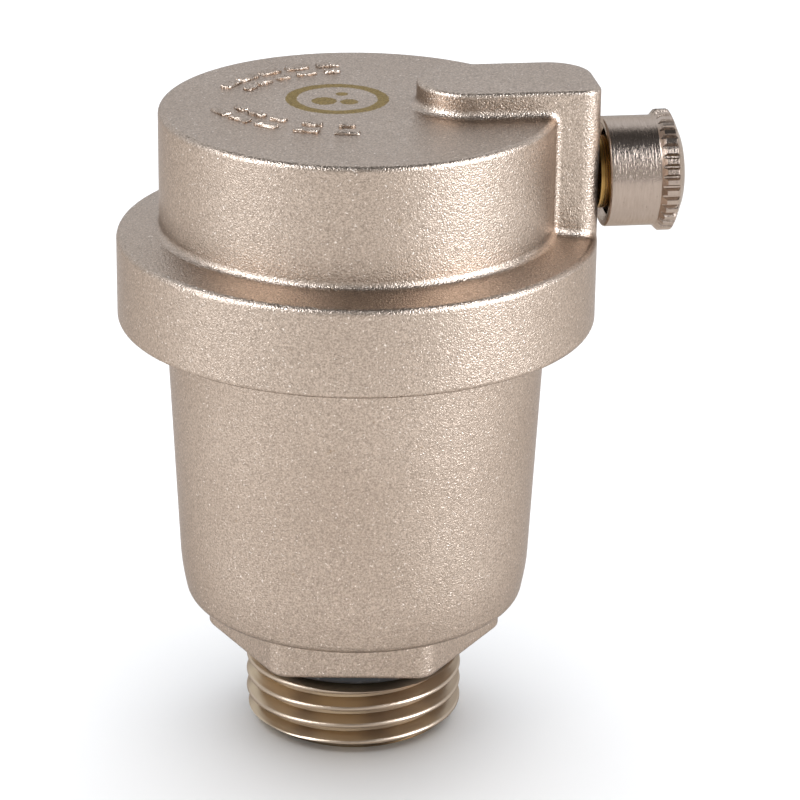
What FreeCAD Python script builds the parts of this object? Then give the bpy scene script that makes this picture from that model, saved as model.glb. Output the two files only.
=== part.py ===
import FreeCAD, Part
import math
import os

# Automatic air vent: a float in a screwed two-part brass housing works a lever, and the lever
# closes a nozzle that leads out sideways under a small knurled cap.
# Millimetres. +Z is up along the inlet thread, +X points along the side outlet, and the origin
# is on the inlet's axis at the lower end of its thread.

V = FreeCAD.Vector
UP = V(0, 0, 1)
OUTWARD = V(1, 0, 0)
ACROSS = V(0, 1, 0)

# ---- driving dimensions ----
# inlet: G 1/2 pipe thread, neck and spanner hexagon
INLET_CREST_R = 10.478
INLET_PITCH = 1.814
INLET_THREAD_DEPTH = 1.162
INLET_THREAD_TOP = 7.0
INLET_THREAD_START = -1.86
INLET_CHAMFER_R = 8.8
INLET_BORE_R = 7.0
NECK_R = 8.9
HEX_BOTTOM = 9.1
HEX_FLATS = 25.0
HEX_CORNER_ROUND = 2.2
HEX_TURN_DEG = -8.0

# cup
CUP_BOTTOM = 13.25
CUP_FOOT_R = 16.1
CUP_WAIST_R = 16.74
CUP_WAIST_Z = 16.6
CUP_TOP_R = 18.0
CHAMBER_FLOOR = 17.0
CHAMBER_FLOOR_R = 14.4
CHAMBER_TOP_R = 15.7

# screwed joint between cup and cover, under the cover's skirt
SEAM_Z = 41.46
SCREW_R = 19.4
SCREW_GAP = 0.1
SHOULDER_Z = 41.9
RIM_TOP = 48.3
GROOVE_IN_R = 16.45
GROOVE_OUT_R = 18.35
GROOVE_DEPTH = 1.1

# cover
SKIRT_R = 22.5
SKIRT_TOP = 49.84
LEDGE_Z = 50.5
CAP_R = 18.48
CAP_TOP = 61.785
CAP_CHAMBER_R = 15.8
CAP_CHAMBER_TOP = 59.3
BOSS_R = 5.1
BOSS_TAIL_X = 10.6
BOSS_FACE_X = 22.2
BOSS_TOP = 64.15
BOSS_FRONT_CORNER_ROUND = 1.9
BOSS_BACK_CORNER_ROUND = 4.0
BOSS_ROOT_ROUND = 0.8
BOSS_TOP_ROUND = 0.45
BOSS_POCKET_TOP = 61.3
BOSS_POCKET_HALF_Y = 3.0

# side outlet: nozzle, vent cap and gasket on one horizontal axis
OUTLET_Z = 54.75
NOZZLE_BORE_R = 0.75
NOZZLE_SEAT_X = 13.6
NOZZLE_SHANK_R = 2.0
NOZZLE_STEM_R = 3.9
NOZZLE_THREAD_R = 4.0
NOZZLE_PITCH = 1.0
NOZZLE_THREAD_DEPTH = 0.58
NOZZLE_MOUTH_X = 27.4
VENT_CAP_RIM_X = 23.1
VENT_CAP_R = 5.2
KNURL_R = 5.72
KNURL_START_X = 28.35
KNURL_END_X = 29.4
KNURL_TEETH = 36
KNURL_DEPTH = 0.36
VENT_CAP_END_X = 30.6
VENT_CAP_BORE_R = 4.1
VENT_CAP_FLOOR_X = 28.5

# lever work behind the nozzle
POCKET_X = 16.5
POCKET_R = 4.4
POCKET_FLOOR = 49.4
SHEET = 0.6
WASHER_THICK = 0.4
NUT_THICK = 1.0
NUT_FLATS = 7.0
PIVOT_X = 13.0
PIVOT_Z = 51.0
PIN_R = 0.8
EAR_INNER_Y = 0.65
EAR_OUTER_Y = 1.4
LEVER_HALF_Y = 0.5
LEVER_RUNNING_GAP = 0.05
FLOAT_TRAVEL = 2.2
LEVER_SWING_DEG = math.degrees(FLOAT_TRAVEL / PIVOT_X)
PAD_R = 1.8
PAD_THICK = 1.2

# float
FLOAT_R = 13.0
FLOAT_BOTTOM = 19.5
FLOAT_TOP = 45.5
FLOAT_WALL = 1.0
FLOAT_LID_FLANGE = 1.2


# ---- shared shapes ----
def rounded_wire(corners, place):
    """Closed wire through corners (u, v, rounding radius); place turns (u, v) into a 3-D point."""
    stretches = []
    for i, (u, v, radius) in enumerate(corners):
        here = V(u, v, 0)
        if radius == 0:
            stretches.append((here, None, here))
            continue
        last = corners[i - 1]
        following = corners[(i + 1) % len(corners)]
        back = (V(last[0], last[1], 0) - here).normalize()
        ahead = (V(following[0], following[1], 0) - here).normalize()
        half = back.getAngle(ahead) / 2
        reach = radius / math.tan(half)
        middle = here + (back + ahead).normalize() * (radius / math.sin(half) - radius)
        stretches.append((here + back * reach, middle, here + ahead * reach))
    edges = []
    for i, (start, middle, end) in enumerate(stretches):
        if middle:
            edges.append(Part.Arc(place(start), place(middle), place(end)).toShape())
        next_start = stretches[(i + 1) % len(stretches)][0]
        if end.distanceToPoint(next_start) > 1e-6:
            edges.append(Part.LineSegment(place(end), place(next_start)).toShape())
    return Part.Wire(edges)


def turned(corners):
    """Solid turned about the inlet axis from corners (radius, height, rounding)."""
    face = Part.Face(rounded_wire(corners, lambda p: V(p.x, 0, p.y)))
    return face.revolve(V(0, 0, 0), UP, 360)


def turned_sideways(corners):
    """Solid turned about the outlet axis from corners (distance along X, radius, rounding)."""
    face = Part.Face(rounded_wire(corners, lambda p: V(p.x, 0, OUTLET_Z + p.y)))
    return face.revolve(V(0, 0, OUTLET_Z), OUTWARD, 360)


def plate_across(corners, low_y, high_y):
    """Flat plate between two Y planes from corners (x, z, rounding)."""
    face = Part.Face(rounded_wire(corners, lambda p: V(p.x, low_y, p.y)))
    return face.extrude(ACROSS * (high_y - low_y))


def rod_across(radius, x, z, low_y, high_y):
    return Part.makeCylinder(radius, high_y - low_y, V(x, low_y, z), ACROSS)


def rod_outward(radius, low_x, high_x):
    return Part.makeCylinder(radius, high_x - low_x, V(low_x, 0, OUTLET_Z), OUTWARD)


def block(low, high):
    return Part.makeBox(high[0] - low[0], high[1] - low[1], high[2] - low[2], V(*low))


def hexagon(flats, height, turn_deg, corner_round):
    """Hexagonal prism about Z, standing on the XY plane, with its upright corners rounded."""
    corner_r = flats / 2 / math.cos(math.pi / 6)
    corners = []
    for i in range(6):
        angle = math.radians(turn_deg + 60 * i)
        corners.append((corner_r * math.cos(angle), corner_r * math.sin(angle), corner_round))
    face = Part.Face(rounded_wire(corners, lambda p: V(p.x, p.y, 0)))
    return face.extrude(UP * height)


def thread_ridge(crest_r, depth, pitch, start, turns):
    """Right-handed helical ridge about Z with 55 to 60 degree flanks and a rounded crest."""
    root_r = crest_r - depth
    sunk = 0.12
    half_foot = 0.46 * pitch
    half_crest = 0.13 * pitch
    flank_top = crest_r - 0.08 * pitch
    helix = Part.makeHelix(pitch, turns * pitch, root_r)
    foot_low = V(root_r - sunk, 0, -half_foot)
    flank_low = V(flank_top, 0, -half_crest)
    crest = V(crest_r, 0, 0)
    flank_high = V(flank_top, 0, half_crest)
    foot_high = V(root_r - sunk, 0, half_foot)
    profile = Part.Wire([
        Part.LineSegment(foot_low, flank_low).toShape(),
        Part.Arc(flank_low, crest, flank_high).toShape(),
        Part.LineSegment(flank_high, foot_high).toShape(),
        Part.LineSegment(foot_high, foot_low).toShape(),
    ])
    ridge = Part.Wire(helix).makePipeShell([profile], True, True)
    return ridge.translated(V(0, 0, start))


def stood_on_outlet(shape, x):
    """Takes a shape made about Z and lays it along the outlet axis, from x outward."""
    laid = shape.copy()
    laid.rotate(V(0, 0, 0), ACROSS, 90)
    laid.translate(V(x, 0, OUTLET_Z))
    return laid


# ---- housing ----
def inlet_thread():
    turns = math.ceil((INLET_THREAD_TOP - INLET_THREAD_START) / INLET_PITCH) + 1
    ridge = thread_ridge(INLET_CREST_R, INLET_THREAD_DEPTH, INLET_PITCH, INLET_THREAD_START, turns)
    envelope = turned([
        (NECK_R - 1.0, 0, 0),
        (INLET_CHAMFER_R, 0, 0),
        (INLET_CREST_R + 0.1, 1.3, 0),
        (INLET_CREST_R + 0.1, INLET_THREAD_TOP - 0.3, 0),
        (NECK_R + 0.2, INLET_THREAD_TOP + 0.4, 0),
        (NECK_R - 1.0, INLET_THREAD_TOP + 0.4, 0),
    ])
    return ridge.common(envelope)


def body():
    root_r = INLET_CREST_R - INLET_THREAD_DEPTH
    groove_floor = RIM_TOP - GROOVE_DEPTH
    hex_height = CUP_BOTTOM - HEX_BOTTOM + 1.0
    core = turned([
        (INLET_BORE_R, 0, 0),
        (INLET_CHAMFER_R - 0.1, 0, 0),
        (root_r, 0.6, 0),
        (root_r, INLET_THREAD_TOP, 0),
        (NECK_R, INLET_THREAD_TOP + 0.3, 0),
        (NECK_R, HEX_BOTTOM + 0.6, 0),
        (HEX_FLATS / 2 - 1.0, HEX_BOTTOM + 0.6, 0),
        (HEX_FLATS / 2 - 1.0, CUP_BOTTOM, 0),
        (CUP_FOOT_R, CUP_BOTTOM, 1.2),
        (CUP_WAIST_R, CUP_WAIST_Z, 20.0),
        (CUP_TOP_R, SHOULDER_Z, 0),
        (SCREW_R, SHOULDER_Z + SCREW_R - CUP_TOP_R, 0),
        (SCREW_R, RIM_TOP - 0.7, 0),
        (SCREW_R - 0.7, RIM_TOP, 0),
        (GROOVE_OUT_R, RIM_TOP, 0),
        (GROOVE_OUT_R, groove_floor, 0.2),
        (GROOVE_IN_R, groove_floor, 0.2),
        (GROOVE_IN_R, RIM_TOP, 0),
        (CHAMBER_TOP_R, RIM_TOP, 0.2),
        (CHAMBER_FLOOR_R, CHAMBER_FLOOR, 1.5),
        (INLET_BORE_R, CHAMBER_FLOOR, 0),
    ])
    nut = hexagon(HEX_FLATS, hex_height, HEX_TURN_DEG, HEX_CORNER_ROUND)
    lower_edges = [e for e in nut.Edges if e.BoundBox.ZMax < 0.01]
    nut = nut.makeFillet(0.5, lower_edges).translated(V(0, 0, HEX_BOTTOM))
    nut = nut.cut(Part.makeCylinder(NECK_R, hex_height, V(0, 0, HEX_BOTTOM)))
    return core.fuse([nut, inlet_thread()]).removeSplitter()


def boss_block():
    """Side boss: half-round tail on the cap, flat face outward, all of its top edge rounded."""
    foot = SKIRT_TOP - 0.8
    corners = [
        (BOSS_TAIL_X - BOSS_R, -BOSS_R, BOSS_R - 0.01),
        (BOSS_FACE_X, -BOSS_R, BOSS_FRONT_CORNER_ROUND),
        (BOSS_FACE_X, BOSS_R, BOSS_BACK_CORNER_ROUND),
        (BOSS_TAIL_X - BOSS_R, BOSS_R, BOSS_R - 0.01),
    ]
    face = Part.Face(rounded_wire(corners, lambda p: V(p.x, p.y, foot)))
    boss = face.extrude(UP * (BOSS_TOP - foot))
    top_edges = [e for e in boss.Edges if e.BoundBox.ZMin > BOSS_TOP - 0.01]
    return boss.makeFillet(BOSS_TOP_ROUND, top_edges)


def boss_root_edges(forging, boss):
    """Edges along which the boss's upright walls run into the cap and the skirt's ledge."""
    roots = []
    for edge in forging.Edges:
        first, last = edge.ParameterRange
        points = [edge.valueAt(first + (last - first) * t) for t in (0.02, 0.5, 0.98)]
        low_enough = all(SKIRT_TOP < p.z < CAP_TOP + 0.1 for p in points)
        if low_enough and all(boss.distToShape(Part.Vertex(p))[0] < 0.001 for p in points):
            inside = [boss.isInside(p, 0.001, False) for p in points]
            if not any(inside):
                roots.append(edge)
    return roots


def cover():
    outside = turned([
        (0, SEAM_Z, 0),
        (SKIRT_R, SEAM_Z, 0.5),
        (SKIRT_R, SKIRT_TOP, 0.65),
        (CAP_R, LEDGE_Z, 0.7),
        (CAP_R, CAP_TOP, 0.55),
        (0, CAP_TOP, 0),
    ])
    chamber = turned([
        (0, SEAM_Z - 1, 0),
        (SCREW_R + SCREW_GAP, SEAM_Z - 1, 0),
        (SCREW_R + SCREW_GAP, RIM_TOP + SCREW_GAP, 0),
        (CAP_CHAMBER_R, RIM_TOP + SCREW_GAP, 0),
        (CAP_CHAMBER_R, CAP_CHAMBER_TOP, 1.2),
        (0, CAP_CHAMBER_TOP, 0),
    ])
    lever_room = block(
        (2.0, -BOSS_POCKET_HALF_Y, CAP_CHAMBER_TOP - 1.0),
        (CAP_CHAMBER_R - 1.2, BOSS_POCKET_HALF_Y, BOSS_POCKET_TOP),
    )
    bracket_pocket = block((12.0, -POCKET_R, POCKET_FLOOR), (POCKET_X, POCKET_R, OUTLET_Z))
    bracket_pocket = bracket_pocket.fuse(rod_outward(POCKET_R, 12.0, POCKET_X))
    nozzle_hole = turned_sideways([
        (POCKET_X - 1, 0, 0),
        (POCKET_X - 1, NOZZLE_STEM_R + 0.05, 0),
        (BOSS_FACE_X - 0.35, NOZZLE_STEM_R + 0.05, 0),
        (BOSS_FACE_X + 0.1, NOZZLE_STEM_R + 0.5, 0),
        (BOSS_FACE_X + 0.1, 0, 0),
    ])
    boss = boss_block()
    forging = outside.fuse(boss).removeSplitter()
    forging = forging.makeFillet(BOSS_ROOT_ROUND, boss_root_edges(forging, boss))
    return forging.cut([chamber, lever_room, bracket_pocket, nozzle_hole])


def ring(inner_r, outer_r, low_z, high_z, rounding):
    return turned([
        (inner_r, low_z, rounding),
        (outer_r, low_z, rounding),
        (outer_r, high_z, rounding),
        (inner_r, high_z, rounding),
    ])


def cover_seal_ring():
    floor = RIM_TOP - GROOVE_DEPTH
    return ring(GROOVE_IN_R + 0.05, GROOVE_OUT_R - 0.05, floor + 0.02, RIM_TOP + 0.08, 0.5)


def inlet_seal_ring():
    return ring(NECK_R + 0.05, INLET_CREST_R - 0.2, INLET_THREAD_TOP + 0.35, HEX_BOTTOM - 0.04, 0.6)


# ---- side outlet ----
NOZZLE_GROOVE = (18.0, 19.6, 3.1)


def nozzle():
    groove_low, groove_high, groove_r = NOZZLE_GROOVE
    root_r = NOZZLE_THREAD_R - NOZZLE_THREAD_DEPTH
    core = turned_sideways([
        (NOZZLE_SEAT_X, NOZZLE_BORE_R, 0.1),
        (NOZZLE_SEAT_X, 1.3, 0.15),
        (NOZZLE_SEAT_X + 0.6, NOZZLE_SHANK_R, 0),
        (POCKET_X, NOZZLE_SHANK_R, 0),
        (POCKET_X, NOZZLE_STEM_R, 0.2),
        (groove_low, NOZZLE_STEM_R, 0),
        (groove_low, groove_r, 0),
        (groove_high, groove_r, 0),
        (groove_high, NOZZLE_STEM_R, 0),
        (BOSS_FACE_X - 0.2, NOZZLE_STEM_R, 0),
        (BOSS_FACE_X + 0.3, root_r, 0),
        (NOZZLE_MOUTH_X - 0.3, root_r, 0),
        (NOZZLE_MOUTH_X, root_r - 0.3, 0),
        (NOZZLE_MOUTH_X, 1.8, 0),
        (NOZZLE_MOUTH_X - 2.0, 1.6, 0),
        (NOZZLE_MOUTH_X - 2.8, NOZZLE_BORE_R, 0),
    ])
    length = NOZZLE_MOUTH_X - BOSS_FACE_X
    turns = math.ceil(length / NOZZLE_PITCH) + 2
    ridge = thread_ridge(NOZZLE_THREAD_R, NOZZLE_THREAD_DEPTH, NOZZLE_PITCH, -NOZZLE_PITCH, turns)
    ridge = stood_on_outlet(ridge, BOSS_FACE_X)
    envelope = turned_sideways([
        (BOSS_FACE_X + 0.05, root_r - 0.5, 0),
        (BOSS_FACE_X + 0.05, NOZZLE_THREAD_R + 0.05, 0),
        (NOZZLE_MOUTH_X - 0.6, NOZZLE_THREAD_R + 0.05, 0),
        (NOZZLE_MOUTH_X, root_r - 0.1, 0),
        (NOZZLE_MOUTH_X, root_r - 0.5, 0),
    ])
    return core.fuse(ridge.common(envelope)).removeSplitter()


def nozzle_seal_ring():
    groove_low, groove_high, groove_r = NOZZLE_GROOVE
    return turned_sideways([
        (groove_low + 0.15, groove_r + 0.02, 0.35),
        (groove_high - 0.15, groove_r + 0.02, 0.35),
        (groove_high - 0.15, NOZZLE_STEM_R + 0.03, 0.35),
        (groove_low + 0.15, NOZZLE_STEM_R + 0.03, 0.35),
    ])


def knurl_grooves():
    """Straight grooves round the vent cap's rim, as one compound."""
    half_top = math.pi * KNURL_R / KNURL_TEETH * 0.8
    half_floor = half_top * 0.2
    low_x = KNURL_START_X - 0.6
    length = VENT_CAP_END_X - low_x
    floor = OUTLET_Z + KNURL_R - KNURL_DEPTH
    lip = OUTLET_Z + KNURL_R + 0.2
    corners = [(-half_floor, floor), (half_floor, floor), (half_top, lip), (-half_top, lip)]
    points = [V(low_x, y, z) for y, z in corners]
    groove = Part.Face(Part.makePolygon(points + points[:1])).extrude(OUTWARD * length)
    grooves = []
    for i in range(KNURL_TEETH):
        turn = groove.copy()
        turn.rotate(V(0, 0, OUTLET_Z), OUTWARD, 360 / KNURL_TEETH * i)
        grooves.append(turn)
    return Part.makeCompound(grooves)


def vent_cap():
    rim_chamfer = 0.5
    blank = turned_sideways([
        (VENT_CAP_RIM_X, VENT_CAP_BORE_R + rim_chamfer, 0),
        (VENT_CAP_RIM_X, VENT_CAP_R, 0.2),
        (KNURL_START_X - 0.5, VENT_CAP_R, 0.15),
        (KNURL_START_X, KNURL_R, 0.06),
        (KNURL_END_X, KNURL_R, 0.06),
        (KNURL_END_X + 0.28, KNURL_R - 0.5, 0),
        (VENT_CAP_END_X - 0.12, KNURL_R - 2.4, 3.0),
        (VENT_CAP_END_X, 0, 0),
        (VENT_CAP_FLOOR_X, 0, 0),
        (VENT_CAP_FLOOR_X, VENT_CAP_BORE_R, 0),
        (VENT_CAP_RIM_X + rim_chamfer, VENT_CAP_BORE_R, 0),
    ])
    return blank.cut(knurl_grooves())


def cap_gasket():
    return turned_sideways([
        (NOZZLE_MOUTH_X + 0.05, 0, 0),
        (NOZZLE_MOUTH_X + 0.05, VENT_CAP_BORE_R - 0.2, 0.15),
        (VENT_CAP_FLOOR_X - 0.05, VENT_CAP_BORE_R - 0.2, 0.15),
        (VENT_CAP_FLOOR_X - 0.05, 0, 0),
    ])


# ---- bracket, clamped behind the nozzle ----
def lever_bracket():
    back_x = POCKET_X - SHEET
    plate_half_y = 3.4
    foot = POCKET_FLOOR + 0.2
    plate = block((back_x, -plate_half_y, foot), (POCKET_X, plate_half_y, OUTLET_Z))
    plate = plate.fuse(rod_outward(plate_half_y, back_x, POCKET_X))
    pieces = []
    for side in (-1, 1):
        low_y, high_y = sorted((side * EAR_INNER_Y, side * EAR_OUTER_Y))
        arm = block((PIVOT_X, low_y, foot), (back_x + 0.1, high_y, PIVOT_Z + 0.05))
        head = rod_across(1.4, PIVOT_X, PIVOT_Z, low_y, high_y)
        pieces += [arm, head]
    bracket = plate.fuse(pieces)
    pin_hole = rod_across(PIN_R + 0.02, PIVOT_X, PIVOT_Z, -3, 3)
    nozzle_hole = rod_outward(NOZZLE_SHANK_R + 0.03, 10, 20)
    return bracket.cut([pin_hole, nozzle_hole]).removeSplitter()


def bracket_lock_washer():
    high_x = POCKET_X - SHEET
    disc = rod_outward(3.3, high_x - WASHER_THICK, high_x)
    return disc.cut(rod_outward(NOZZLE_SHANK_R + 0.05, 10, 20))


def bracket_lock_nut():
    high_x = POCKET_X - SHEET - WASHER_THICK
    nut = stood_on_outlet(hexagon(NUT_FLATS, NUT_THICK, 90, 0.1), high_x - NUT_THICK)
    return nut.cut(rod_outward(NOZZLE_SHANK_R + 0.02, 10, 20))


def lever_pin():
    half = 2.2
    pin = rod_across(PIN_R, PIVOT_X, PIVOT_Z, -half, half)
    return pin.makeChamfer(0.15, [e for e in pin.Edges if e.Curve.TypeId == "Part::GeomCircle"])


def pin_clips():
    """Two open retaining rings, one at each end of the pivot pin."""
    clips = []
    for side in (-1, 1):
        low_y, high_y = sorted((side * (EAR_OUTER_Y + 0.05), side * (EAR_OUTER_Y + 0.4)))
        clip = rod_across(1.35, PIVOT_X, PIVOT_Z, low_y, high_y)
        clip = clip.cut(rod_across(PIN_R + 0.01, PIVOT_X, PIVOT_Z, low_y, high_y))
        mouth = block((PIVOT_X - 0.45, low_y, PIVOT_Z - 2), (PIVOT_X + 0.45, high_y, PIVOT_Z - 0.5))
        clips.append(clip.cut(mouth))
    return Part.makeCompound(clips)


# ---- lever, drawn with the valve closed and then let down to its open rest ----
def let_down(shape):
    """Turns a lever piece from its closed place to its rest, with the float hanging low."""
    lowered = shape.copy()
    lowered.rotate(V(PIVOT_X, 0, PIVOT_Z), ACROSS, -LEVER_SWING_DEG)
    return lowered


PAD_FACE_X = NOZZLE_SEAT_X - 0.02
PAD_BACK_X = PAD_FACE_X - PAD_THICK
CUP_BACK_X = PAD_BACK_X - 0.7


def lever():
    tilt_deg = LEVER_SWING_DEG / 2
    long_arm = PIVOT_X / math.cos(math.radians(tilt_deg))
    slot_half = PIN_R + 0.15
    slot_run = 0.25
    tip_x = PIVOT_X - long_arm
    bar = plate_across(
        [
            (PIVOT_X, PIVOT_Z - 1.3, 0),
            (PIVOT_X, PIVOT_Z + 1.3, 0),
            (tip_x, PIVOT_Z + 1.1, 0),
            (tip_x, PIVOT_Z - 1.1, 0),
        ],
        -LEVER_HALF_Y,
        LEVER_HALF_Y,
    )
    hub = rod_across(1.4, PIVOT_X, PIVOT_Z, -LEVER_HALF_Y, LEVER_HALF_Y)
    eye = rod_across(1.9, tip_x, PIVOT_Z, -LEVER_HALF_Y, LEVER_HALF_Y)
    long_side = bar.fuse([hub, eye])
    slot = plate_across(
        [
            (tip_x - slot_run - slot_half, PIVOT_Z - slot_half, slot_half - 0.01),
            (tip_x + slot_run + slot_half, PIVOT_Z - slot_half, slot_half - 0.01),
            (tip_x + slot_run + slot_half, PIVOT_Z + slot_half, slot_half - 0.01),
            (tip_x - slot_run - slot_half, PIVOT_Z + slot_half, slot_half - 0.01),
        ],
        -LEVER_HALF_Y - 1,
        LEVER_HALF_Y + 1,
    )
    long_side = long_side.cut(slot)
    long_side.rotate(V(PIVOT_X, 0, PIVOT_Z), ACROSS, tilt_deg)
    short_arm = plate_across(
        [
            (CUP_BACK_X + 0.1, PIVOT_Z - 0.2, 0),
            (CUP_BACK_X + 0.1, OUTLET_Z + 0.6, 0),
            (PAD_BACK_X, OUTLET_Z + 0.6, 0),
            (PAD_BACK_X, PIVOT_Z + 1.7, 0),
            (PIVOT_X, PIVOT_Z, 0),
        ],
        -LEVER_HALF_Y,
        LEVER_HALF_Y,
    )
    dish = rod_outward(2.1, CUP_BACK_X, PAD_BACK_X)
    whole = long_side.fuse([short_arm, dish])
    pin_hole = rod_across(PIN_R + LEVER_RUNNING_GAP, PIVOT_X, PIVOT_Z, -2, 2)
    rivet_hole = rod_outward(0.55, CUP_BACK_X - 1, PAD_BACK_X + 1)
    return let_down(whole.cut([pin_hole, rivet_hole]).removeSplitter())


def valve_pad():
    pad = turned_sideways([
        (PAD_BACK_X, 0, 0),
        (PAD_BACK_X, PAD_R, 0.15),
        (PAD_FACE_X, PAD_R, 0.15),
        (PAD_FACE_X, 0, 0),
    ])
    return let_down(pad.cut(rod_outward(0.52, PAD_BACK_X - 1, PAD_BACK_X + 0.7)))


def pad_rivet():
    head = turned_sideways([
        (CUP_BACK_X - 0.45, 0, 0),
        (CUP_BACK_X - 0.45, 1.0, 0.3),
        (CUP_BACK_X, 1.0, 0),
        (CUP_BACK_X, 0, 0),
    ])
    shank = rod_outward(0.5, CUP_BACK_X - 0.1, PAD_BACK_X + 0.6)
    return let_down(head.fuse(shank).removeSplitter())


# ---- float ----
def link_place():
    """Height of the link pin at rest: the lever's long arm is as far below level as it rises above."""
    return PIVOT_Z - PIVOT_X * math.tan(math.radians(LEVER_SWING_DEG / 2))


def float_shell():
    low = FLOAT_BOTTOM + FLOAT_LID_FLANGE + 0.05
    inner_r = FLOAT_R - FLOAT_WALL
    can = turned([
        (inner_r, low, 0),
        (FLOAT_R, low, 0),
        (FLOAT_R, FLOAT_TOP, 2.0),
        (0, FLOAT_TOP, 0),
        (0, FLOAT_TOP - FLOAT_WALL, 0),
        (inner_r, FLOAT_TOP - FLOAT_WALL, 1.0),
    ])
    pin_z = link_place()
    ears = []
    for side in (-1, 1):
        low_y, high_y = sorted((side * 0.75, side * 1.75))
        ears.append(rod_across(1.7, 0, pin_z, low_y, high_y))
        ears.append(block((-1.7, low_y, FLOAT_TOP - 0.3), (1.7, high_y, pin_z)))
    shell = can.fuse(ears)
    return shell.cut(rod_across(PIN_R + 0.02, 0, pin_z, -3, 3)).removeSplitter()


def float_lid():
    plug_r = FLOAT_R - FLOAT_WALL - 0.05
    flange_top = FLOAT_BOTTOM + FLOAT_LID_FLANGE
    return turned([
        (0, FLOAT_BOTTOM, 0),
        (FLOAT_R, FLOAT_BOTTOM, 0.4),
        (FLOAT_R, flange_top, 0),
        (plug_r, flange_top, 0),
        (plug_r, flange_top + 1.5, 0.3),
        (plug_r - 1.2, flange_top + 1.5, 0.3),
        (plug_r - 1.2, flange_top, 0),
        (0, flange_top, 0),
    ])


def link_pin():
    return rod_across(PIN_R, 0, link_place(), -1.75, 1.75)


PIECES = {
    "body": body,
    "cover": cover,
    "cover_seal_ring": cover_seal_ring,
    "inlet_seal_ring": inlet_seal_ring,
    "nozzle": nozzle,
    "nozzle_seal_ring": nozzle_seal_ring,
    "vent_cap": vent_cap,
    "cap_gasket": cap_gasket,
    "lever_bracket": lever_bracket,
    "bracket_lock_washer": bracket_lock_washer,
    "bracket_lock_nut": bracket_lock_nut,
    "lever_pin": lever_pin,
    "pin_clips": pin_clips,
    "lever": lever,
    "valve_pad": valve_pad,
    "pad_rivet": pad_rivet,
    "float_shell": float_shell,
    "float_lid": float_lid,
    "link_pin": link_pin,
}

os.makedirs("parts", exist_ok=True)
for name, make in PIECES.items():
    piece = make()
    piece.exportStep(os.path.join("parts", name + ".step"))
    print(name, piece.isValid(), len(piece.Solids), round(piece.Volume, 2))
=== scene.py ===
import math

import bmesh
import bpy
from mathutils import Matrix, Vector, noise


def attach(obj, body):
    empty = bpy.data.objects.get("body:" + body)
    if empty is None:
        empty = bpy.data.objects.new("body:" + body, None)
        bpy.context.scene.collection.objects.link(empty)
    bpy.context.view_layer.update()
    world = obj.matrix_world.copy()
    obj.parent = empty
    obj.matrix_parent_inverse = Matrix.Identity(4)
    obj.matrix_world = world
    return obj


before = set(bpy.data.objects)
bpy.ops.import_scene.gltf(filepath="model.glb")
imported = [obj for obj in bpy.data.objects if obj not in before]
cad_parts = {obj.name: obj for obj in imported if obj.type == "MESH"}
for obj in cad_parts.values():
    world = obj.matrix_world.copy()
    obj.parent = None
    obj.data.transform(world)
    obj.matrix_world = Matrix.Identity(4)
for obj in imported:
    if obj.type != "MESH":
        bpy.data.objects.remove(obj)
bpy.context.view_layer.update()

# ---- Camera ----
# A long lens in front of the vent and a little to the left of square to its side outlet,
# looking down about 21 degrees, so that the cap's top shows as a shallow ellipse.
CAMERA_PLACE = Vector((-0.04087, -0.31226, 0.15697))
CAMERA_HEADING = math.radians(8.23)
CAMERA_DIP = 0.376
CAMERA_ROLL = 0.013
SENSOR_WIDTH = 36
LENS = 159.6
level = Vector((math.sin(CAMERA_HEADING), math.cos(CAMERA_HEADING), 0))
sight = level * math.cos(CAMERA_DIP) - Vector((0, 0, math.sin(CAMERA_DIP)))
camera = bpy.data.objects.new("camera", bpy.data.cameras.new("camera"))
camera.data.sensor_width = SENSOR_WIDTH
camera.data.lens = LENS
camera.data.clip_start = 0.01
turn = sight.to_track_quat("-Z", "Y").to_matrix() @ Matrix.Rotation(CAMERA_ROLL, 3, "Z")
camera.matrix_world = Matrix.Translation(CAMERA_PLACE) @ turn.to_4x4()
bpy.context.scene.collection.objects.link(camera)
bpy.context.scene.camera = camera

# ---- Cup ----
# The lower half of the housing: a brass forging, sandblasted and then nickel-plated, with its inlet
# thread, neck and bore turned afterwards. It screws up into the cover with a spanner on its hexagon.
MM = 0.001
NICKEL = (0.64, 0.512, 0.415, 1)
NICKEL_DULL = (0.585, 0.461, 0.369, 1)
GRIT_DARK = (0.31, 0.243, 0.192, 1)
PAINTED_GLINT = (0.85, 0.74, 0.65, 1)
STAIN_BROWN = (0.30, 0.20, 0.11, 1)
MACHINED_NICKEL = (0.50, 0.395, 0.305, 1)
MACHINED_BRONZE = (0.52, 0.40, 0.27, 1)
MACHINED_BROWN = (0.34, 0.255, 0.18, 1)
PLATED_SHEEN = (0.50, 0.48, 0.47, 1)
FORGED_FROM = 8.8 * MM
BLAST_DEPTH = 0.085 * MM
SHOT_SCALE = 6400
GRIT_SCALE = 5200
PAINTED_GLINT_SCALE = 4300
WAVE_SCALE = 900
STAIN_SCALE = 620
DULL_SCALE = 70
THREAD_FLANK_R = 10.25 * MM
THREAD_CREST_R = 10.48 * MM


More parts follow.
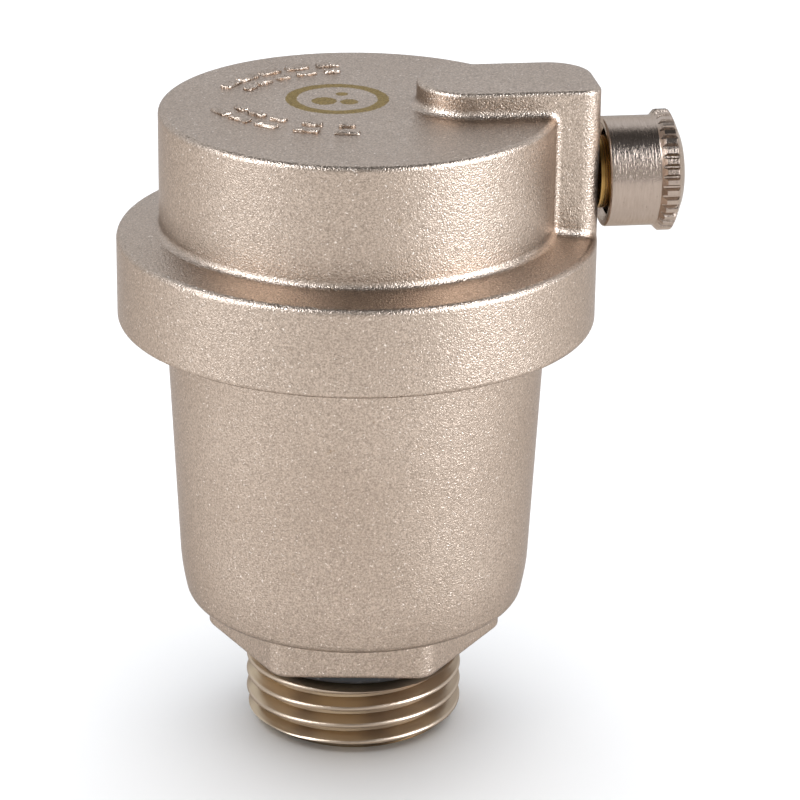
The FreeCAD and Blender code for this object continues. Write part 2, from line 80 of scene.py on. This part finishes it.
class Signal:
    """One socket of a node tree; sums and products of signals add the nodes they need."""

    def __init__(self, tree, socket):
        self.tree = tree
        self.socket = socket

    def node(self, kind, settings, inputs, output=0):
        made = self.tree.nodes.new("ShaderNode" + kind)
        for name, value in settings.items():
            setattr(made, name, value)
        for name, value in inputs.items():
            if isinstance(value, Signal):
                self.tree.links.new(value.socket, made.inputs[name])
            else:
                made.inputs[name].default_value = value
        return Signal(self.tree, made.outputs[output])

    def combine(self, operation, first, second):
        return self.node("Math", {"operation": operation}, {0: first, 1: second})

    def __add__(self, other):
        return self.combine("ADD", self, other)

    def __sub__(self, other):
        return self.combine("SUBTRACT", self, other)

    def __rsub__(self, other):
        return self.combine("SUBTRACT", other, self)

    def __mul__(self, other):
        return self.combine("MULTIPLY", self, other)

    __radd__ = __add__
    __rmul__ = __mul__

    def absolute(self):
        return self.node("Math", {"operation": "ABSOLUTE"}, {0: self})

    def axis(self, letter):
        return self.node("SeparateXYZ", {}, {0: self}, output="XYZ".index(letter))

    def flattened(self, x, y, z):
        """Each component times a factor, so that a pattern is stretched or an axis is dropped."""
        return self.node("VectorMath", {"operation": "MULTIPLY"}, {0: self, 1: (x, y, z)})

    def distance(self, point):
        return self.node("VectorMath", {"operation": "DISTANCE"}, {0: self, 1: point}, output=1)

    def along(self, direction):
        return self.node("VectorMath", {"operation": "DOT_PRODUCT"}, {0: self, 1: direction}, output=1)

    def noise(self, scale, detail=2.0, roughness=0.5):
        inputs = {"Vector": self, "Scale": scale, "Detail": detail, "Roughness": roughness}
        return self.node("TexNoise", {}, inputs)

    def between(self, low, high):
        """0 below low, 1 above high, smooth between."""
        settings = {"interpolation_type": "SMOOTHSTEP"}
        return self.node("MapRange", settings, {"Value": self, "From Min": low, "From Max": high})

    def blend(self, first, second):
        """The first colour where this signal is 0 and the second where it is 1."""
        inputs = {0: self, 6: first, 7: second}
        return self.node("Mix", {"data_type": "RGBA"}, inputs, output=2)

    def bump(self, depth):
        return self.node("Bump", {}, {"Height": self, "Distance": depth, "Strength": 1.0})


def new_material(name, **constants):
    """A material with a Principled shader; returns it, its shader and its object coordinates."""
    material = bpy.data.materials.new(name)
    material.use_nodes = True
    shader = material.node_tree.nodes["Principled BSDF"]
    for socket, value in constants.items():
        shader.inputs[socket.replace("_", " ")].default_value = value
    place = material.node_tree.nodes.new("ShaderNodeTexCoord").outputs["Object"]
    return material, shader, Signal(material.node_tree, place)


def feed(shader, **signals):
    for socket, signal in signals.items():
        signal.tree.links.new(signal.socket, shader.inputs[socket.replace("_", " ")])


def blasted_grain(at):
    """The fine shot marks of a sandblasted forging, and its height: those marks over soft waves."""
    shot = at.noise(SHOT_SCALE, 1.0)
    waves = at.noise(WAVE_SCALE, 2.0)
    return shot, shot * 0.75 + waves * 0.22


def blasted_colour(at):
    """Nickel over brass: slightly duller in patches, with a few small brown stains and sparse painted
    glints.
    """
    dull = at.noise(DULL_SCALE, 3.0).between(0.35, 0.7)
    nickel = dull.blend(NICKEL, NICKEL_DULL)
    grit = at.noise(GRIT_SCALE, 2.0, 0.7).between(0.22, 0.78)
    speckled = grit.blend(GRIT_DARK, nickel)
    # Sparse specks in a lighter colour: painted glints, standing in for sparkles of light on the grain.
    painted_glints = at.noise(PAINTED_GLINT_SCALE, 1.0).between(0.66, 0.78)
    stains = at.noise(STAIN_SCALE, 3.0, 0.65).between(0.68, 0.82) * 0.75
    return stains.blend(painted_glints.blend(speckled, PAINTED_GLINT), STAIN_BROWN)


def cup_finish():
    """Blasted nickel on the forged cup and hexagon; bright, bronze-toned turned metal below them."""
    material, shader, at = new_material("cup_finish", Metallic=1.0, Specular_Tint=PLATED_SHEEN)
    shot, forged_height = blasted_grain(at)
    forged = at.axis("Z").between(FORGED_FROM, FORGED_FROM + 0.1 * MM)
    from_axis = at.flattened(1, 1, 0).distance((0, 0, 0))
    crest = from_axis.between(THREAD_FLANK_R, THREAD_CREST_R)
    crest = crest * (at.noise(WAVE_SCALE, 2.0) * 0.6 + 0.6)
    tool_lines = at.flattened(150, 150, 9000).noise(1.0, 2.0)
    tarnish = at.flattened(110, 110, 40).noise(1.0, 2.0).between(0.38, 0.6)
    turned = crest.blend(tarnish.blend(MACHINED_BRONZE, MACHINED_BROWN), MACHINED_NICKEL)
    colour = forged.blend(turned, blasted_colour(at))
    feed(
        shader,
        Base_Color=colour,
        Roughness=forged * (shot * 0.2 + 0.23) + (1 - forged) * (tool_lines * 0.2 + 0.24),
        Normal=(forged * forged_height + (1 - forged) * tool_lines * 0.12).bump(BLAST_DEPTH),
    )
    return material


def dress(node, material):
    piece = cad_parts[node]
    piece.data.materials.clear()
    piece.data.materials.append(material)


dress("body", cup_finish())

# ---- Inlet seal ring ----
# A moulded black rubber ring, pushed over the thread into the neck under the hexagon. It seals
# against the end of the pipe socket, and holds a little pale lint and dust.
RUBBER = (0.012, 0.013, 0.015, 1)
RUBBER_DUST = (0.09, 0.085, 0.08, 1)


def black_rubber():
    material, shader, at = new_material("black_rubber")
    dust = at.noise(1400, 4.0, 0.6).between(0.56, 0.74)
    scuffs = at.noise(2500, 2.0)
    feed(
        shader,
        Base_Color=dust.blend(RUBBER, RUBBER_DUST),
        Roughness=dust * 0.3 + scuffs * 0.2 + 0.33,
        Normal=scuffs.bump(0.02 * MM),
    )
    return material


rubber = black_rubber()
dress("inlet_seal_ring", rubber)

# ---- Float ----
# A hollow float of natural polypropylene: a moulded can with two ears on top, and a lid welded
# into its open lower end. It hangs on the lever by a steel pin through the ears.
PLASTIC = (0.80, 0.79, 0.73, 1)
PLASTIC_SHADE = (0.72, 0.70, 0.63, 1)


def moulded_plastic():
    material, shader, at = new_material(
        "moulded_plastic",
        Subsurface_Weight=0.15,
        Subsurface_Radius=(2.0 * MM, 2.0 * MM, 1.5 * MM),
    )
    flow = at.flattened(60, 60, 14).noise(1.0, 2.0)
    texture = at.noise(3000, 2.0)
    feed(
        shader,
        Base_Color=flow.blend(PLASTIC, PLASTIC_SHADE),
        Roughness=texture * 0.2 + 0.32,
        Normal=(texture + flow * 0.5).bump(0.012 * MM),
    )
    return material


plastic = moulded_plastic()
dress("float_shell", plastic)
dress("float_lid", plastic)

# ---- Lever work ----
# Stamped stainless steel: the lever with its riveted rubber pad, the bracket that carries it, and
# their pins, clips and washer. The bracket is clamped behind the nozzle by a thin brass nut.
STEEL = (0.62, 0.61, 0.59, 1)
STEEL_DULL = (0.52, 0.51, 0.49, 1)
BRASS = (0.83, 0.55, 0.20, 1)
# Duller brass: dull patches on the lock nut, and painted shade as the nozzle's lighter colour.
BRASS_DULL_AND_SHADE = (0.62, 0.38, 0.13, 1)
# Darkest brass: painted shade on the nozzle, for the gap behind the vent cap.
BRASS_PAINTED_SHADE = (0.30, 0.17, 0.05, 1)


def stamped_steel():
    material, shader, at = new_material("stamped_steel", Metallic=1.0)
    rolling = at.flattened(400, 6000, 6000).noise(1.0, 2.0)
    feed(
        shader,
        Base_Color=at.noise(400, 2.0).blend(STEEL, STEEL_DULL),
        Roughness=rolling * 0.2 + 0.22,
        Normal=rolling.bump(0.006 * MM),
    )
    return material


def bare_brass(name, bright, dull):
    """Turned brass: fine tool lines around the outlet axis, duller in patches."""
    material, shader, at = new_material(name, Metallic=1.0)
    tool_lines = at.flattened(8000, 50, 50).noise(1.0, 2.0)
    feed(
        shader,
        Base_Color=at.noise(500, 3.0).blend(bright, dull),
        Roughness=tool_lines * 0.15 + 0.2,
        Normal=tool_lines.bump(0.01 * MM),
    )
    return material


steel = stamped_steel()
STAMPED_PIECES = (
    "lever",
    "pad_rivet",
    "link_pin",
    "lever_bracket",
    "bracket_lock_washer",
    "lever_pin",
    "pin_clips",
)
for node in STAMPED_PIECES:
    dress(node, steel)
dress("valve_pad", rubber)
dress("bracket_lock_nut", bare_brass("bare_brass", BRASS, BRASS_DULL_AND_SHADE))

# ---- Nozzle ----
# The turned brass outlet, screwed into the boss with a rubber ring round its stem. The end of
# its thread shows as a strip of gold in the gap behind the vent cap. Its brass colours are dark
# all over: painted shade for that gap.
dress("nozzle", bare_brass("brass_painted_shade", BRASS_DULL_AND_SHADE, BRASS_PAINTED_SHADE))
dress("nozzle_seal_ring", rubber)

# ---- Cover ----
# The upper half of the housing, forged, blasted and plated like the cup, with a side boss for the
# nozzle. A plain ring with bubbles is printed on its top in gold, beside short forged bars.
CAP_TOP = 61.785 * MM
PRINT_GOLD = (0.37, 0.26, 0.105, 1)
PRINT_DARK = (0.19, 0.13, 0.055, 1)
PRINT_CENTRE = Vector((-1.6, 2.6, 0)) * MM
PRINT_R = 4.3 * MM
PRINT_HALF_LINE = 0.5 * MM
PRINT_EDGE = 0.08 * MM
BUBBLES = (((-1.3, -0.6), 1.15), ((1.0, -1.1), 0.8), ((0.6, 1.5), 0.55))


def printed_ring(at):
    """1 on the printed ring and its three bubbles, with a slightly ragged edge."""
    ragged = (at.noise(2600, 2.0) - 0.5) * (0.25 * MM)
    flat = at.flattened(1, 1, 0)
    off_line = (flat.distance(PRINT_CENTRE) + ragged - PRINT_R).absolute()
    ink = 1 - off_line.between(PRINT_HALF_LINE, PRINT_HALF_LINE + PRINT_EDGE)
    for (x, y), radius in BUBBLES:
        middle = PRINT_CENTRE + Vector((x, y, 0)) * MM
        from_middle = flat.distance(middle) + ragged
        ink = ink + (1 - from_middle.between(radius * MM, radius * MM + PRINT_EDGE))
    on_top = at.axis("Z").between(CAP_TOP - 0.2 * MM, CAP_TOP - 0.1 * MM)
    return ink * on_top


def cover_finish():
    material, shader, at = new_material("cover_finish", Metallic=1.0, Specular_Tint=PLATED_SHEEN)
    shot, height = blasted_grain(at)
    ink = printed_ring(at)
    gold = at.noise(GRIT_SCALE, 2.0, 0.7).between(0.25, 0.7).blend(PRINT_DARK, PRINT_GOLD)
    colour = ink.blend(blasted_colour(at), gold)
    feed(
        shader,
        Base_Color=colour,
        Roughness=shot * 0.2 + ink * 0.1 + 0.23,
        Normal=height.bump(BLAST_DEPTH),
    )
    return material


forged_cover = cover_finish()
dress("cover", forged_cover)
dress("cover_seal_ring", rubber)

# Worn raised bars in two arcs on the left of the top, in two rows each. They are forged in one
# with the cover; each is rounded at its edges, then roughened by a small shift of seeded noise.
MARK_TALL = 0.26 * MM
MARK_ROUND = 0.18 * MM
MARK_WEAR = 0.16 * MM
MARK_GRAIN = 0.5 * MM
MARK_SEED = 5
ROW_GAP = 2.1
OUTER_BAR = (2.3, 1.0)
INNER_BARS = ((1.5, 0.9), (2.0, 0.9))
MARK_ARCS = (
    {"centre": (0, 0), "radius": 13.6, "degrees": (95, 108, 121, 133, 144)},
    {"centre": (0, 6.1), "radius": 14.4, "degrees": (208, 219, 231, 247, 262)},
)


def raised_bar(sheet, x, y, angle, long, wide):
    """One bar on the cap's top, its lower half sunk in the forging."""
    made = bmesh.ops.create_cube(sheet, size=1.0)
    sized = Matrix.Diagonal((long * MM, wide * MM, 2 * MARK_TALL, 1))
    place = Matrix.Translation((x * MM, y * MM, CAP_TOP)) @ Matrix.Rotation(angle, 4, "Z") @ sized
    bmesh.ops.transform(sheet, matrix=place, verts=made["verts"])


sheet = bmesh.new()
for arc in MARK_ARCS:
    for i, degrees in enumerate(arc["degrees"]):
        angle = math.radians(degrees)
        outward_line = Vector((math.cos(angle), math.sin(angle)))
        outer = Vector(arc["centre"]) + outward_line * arc["radius"]
        inner = outer - outward_line * ROW_GAP
        raised_bar(sheet, *outer, angle + math.pi / 2, *OUTER_BAR)
        raised_bar(sheet, *inner, angle + math.pi / 2, *INNER_BARS[i % 2])
bmesh.ops.bevel(
    sheet,
    geom=sheet.edges[:],
    offset=MARK_ROUND,
    affect="EDGES",
    segments=3,
    profile=0.5,
    material=-1,
    clamp_overlap=True,
)
bmesh.ops.subdivide_edges(sheet, edges=sheet.edges[:], cuts=4, use_grid_fill=True)
noise.seed_set(MARK_SEED)
for point in sheet.verts:
    point.co += noise.noise_vector(point.co / MARK_GRAIN) * MARK_WEAR
    point.co += noise.noise_vector(point.co / MARK_GRAIN * 3) * MARK_WEAR * 0.3
marks_mesh = bpy.data.meshes.new("cap_marks")
sheet.to_mesh(marks_mesh)
sheet.free()
marks_mesh.shade_smooth()
cap_marks = bpy.data.objects.new("cap_marks", marks_mesh)
bpy.context.scene.collection.objects.link(cap_marks)
cap_marks.data.materials.append(forged_cover)
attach(cap_marks, "housing")

# ---- Vent cap ----
# A small cap turned from brass bar and nickel-plated, knurled round its rim and slightly domed at
# its end. A rubber disc in it closes the nozzle when the cap is screwed tight.
TURNED_NICKEL = (0.49, 0.392, 0.325, 1)
TURNED_DULL = (0.31, 0.242, 0.195, 1)
TURNED_SHEEN = (0.6, 0.55, 0.5, 1)


def turned_nickel():
    material, shader, at = new_material("turned_nickel", Metallic=1.0, Specular_Tint=TURNED_SHEEN)
    tool_lines = at.flattened(9000, 80, 80).noise(1.0, 2.0)
    streaks = at.flattened(6500, 900, 900).noise(1.0, 4.0, 0.65)
    scuffs = at.flattened(7000, 2200, 2200).noise(1.0, 2.0, 0.6)
    feed(
        shader,
        Base_Color=streaks.blend(TURNED_NICKEL, TURNED_DULL),
        Roughness=streaks * 0.2 + 0.14,
        Normal=(tool_lines * 0.4 + streaks * 0.8 + scuffs * 0.6).bump(0.035 * MM),
    )
    return material


dress("vent_cap", turned_nickel())
dress("cap_gasket", rubber)

# ---- Floor and light ----
# A white paper floor and soft studio light: a bright backdrop behind, a dark ceiling, a tall soft
# box on the right, a smaller one and a high one on the left. A big one overhead lights the paper alone.
FLOOR_SIZE = 6.0
PAPER = (0.86, 0.86, 0.86, 1)
PAPER_SHADE = (0.84, 0.84, 0.84, 1)
BACKDROP = 1.2
ROOM = 0.5
CEILING = 0.06
BACKDROP_EDGE = (0.3, 0.6)
CEILING_EDGE = (0.42, 0.8)
WHITE = (1, 1, 1, 1)
DAYLIGHT = (0.91, 1.0, 1.11, 1)
FLOOR_GAP = 0.02 * MM
bpy.ops.mesh.primitive_plane_add(size=FLOOR_SIZE, location=(0, 0, -FLOOR_GAP))
floor = bpy.context.object
floor.name = "floor"
paper, paper_shader, paper_at = new_material("paper", Roughness=0.9)
feed(paper_shader, Base_Color=paper_at.noise(40, 2.0).blend(PAPER, PAPER_SHADE))
floor.data.materials.append(paper)


def soft_box(name, place, target, width, height, watts):
    lamp = bpy.data.lights.new(name, "AREA")
    lamp.color = DAYLIGHT[:3]
    lamp.shape = "RECTANGLE"
    lamp.size = width
    lamp.size_y = height
    lamp.energy = watts
    box = bpy.data.objects.new(name, lamp)
    aim = (Vector(target) - Vector(place)).to_track_quat("-Z", "Y").to_matrix().to_4x4()
    box.matrix_world = Matrix.Translation(Vector(place)) @ aim
    bpy.context.scene.collection.objects.link(box)
    return box


middle = (0, 0, 0.035)
right_box = soft_box("right_box", (0.42, -0.27, 0.24), middle, 0.30, 0.56, 4.7)
left_box = soft_box("left_box", (-0.48, -0.15, 0.20), middle, 0.22, 0.40, 1.25)
high_box = soft_box("high_box", (-0.36, -0.14, 0.42), middle, 0.26, 0.22, 1.6)
paper_box = soft_box("paper_box", (0, 0.1, 1.2), (0, 0.1, 0), 2.0, 2.0, 27.0)
paper_box.data.color = WHITE[:3]
lit_floor = bpy.data.collections.new("lit_floor")
lit_floor.objects.link(floor)
paper_box.light_linking.receiver_collection = lit_floor
dark_floor = bpy.data.collections.new("dark_floor")
dark_floor.objects.link(floor)
dark_floor.collection_objects[0].light_linking.link_state = "EXCLUDE"
for box in (right_box, left_box, high_box):
    box.light_linking.receiver_collection = dark_floor

world = bpy.data.worlds.new("studio")
world.use_nodes = True
sky = world.node_tree.nodes["Background"]
outward = Signal(world.node_tree, world.node_tree.nodes.new("ShaderNodeTexCoord").outputs["Generated"])
backdrop = outward.along(tuple(level)).between(*BACKDROP_EDGE)
under_ceiling = 1 - outward.axis("Z").between(*CEILING_EDGE)
glow = backdrop * BACKDROP + (1 - backdrop) * under_ceiling * ROOM + CEILING
world.node_tree.links.new(backdrop.blend(WHITE, DAYLIGHT).socket, sky.inputs["Color"])
world.node_tree.links.new(glow.socket, sky.inputs["Strength"])
bpy.context.scene.world = world
bpy.context.scene.view_settings.view_transform = "Standard"
